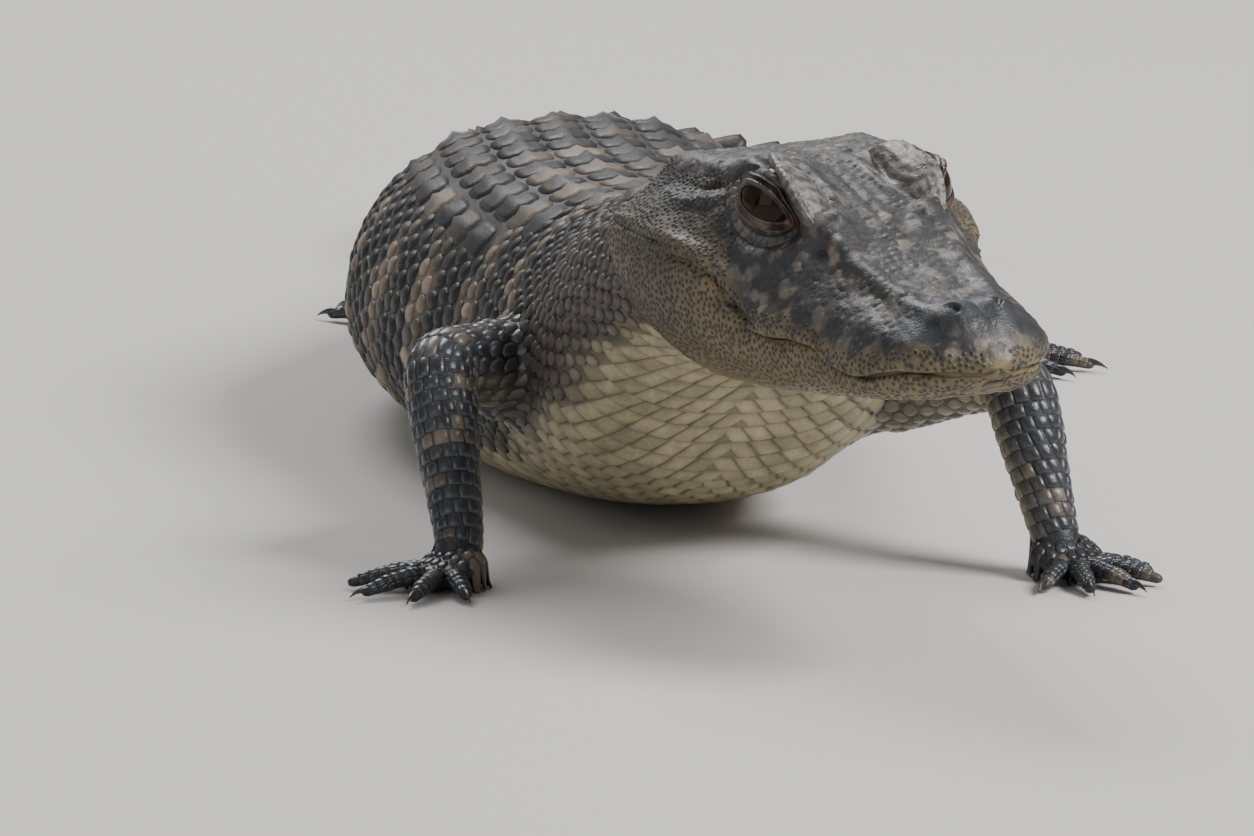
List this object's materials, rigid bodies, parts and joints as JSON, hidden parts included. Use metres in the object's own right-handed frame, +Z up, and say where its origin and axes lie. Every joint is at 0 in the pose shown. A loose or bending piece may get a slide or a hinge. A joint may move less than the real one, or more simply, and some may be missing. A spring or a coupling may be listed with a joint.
{
  "type": "young american alligator model",
  "caption": "Still, life-size model of a young American alligator, lying on its belly with chest and head raised, forelegs planted and tail curled behind.",
  "frame": {"origin": "on the floor, under the middle of the model's outline seen from above", "axes": "+X towards the head, +Y towards the animal's left, +Z up"},
  "size_m": [0.6022, 0.1984, 0.1061],
  "materials": {
    "head_skin": "damp scaly hide, dark grey-brown with tan mottling",
    "jaw_skin": "tan to yellowish hide with small dark pits",
    "body_skin": "dark scaly hide with pale cross bands and a cream underside",
    "limb_skin": "glossy blue-grey scales with tan flecks",
    "eye": "wet, dark brown with a vertical slit pupil"
  },
  "bodies": {
    "root": {"head": "head_skin", "jaw": "jaw_skin", "eye_right": "eye", "eye_left": "eye", "neck": "body_skin", "chest": "body_skin", "belly": "body_skin", "tail_1": "body_skin", "tail_2": "body_skin", "tail_3": "body_skin", "tail_4": "body_skin", "tail_5": "body_skin", "tail_6": "body_skin", "front_right_upper_arm": "limb_skin", "front_right_forearm": "limb_skin", "front_right_hand": "limb_skin", "front_left_upper_arm": "limb_skin", "front_left_forearm": "limb_skin", "front_left_hand": "limb_skin", "hind_right_thigh": "limb_skin", "hind_right_shin": "limb_skin", "hind_right_foot": "limb_skin", "hind_left_thigh": "limb_skin", "hind_left_shin": "limb_skin", "hind_left_foot": "limb_skin"}
  },
  "joints": []
}
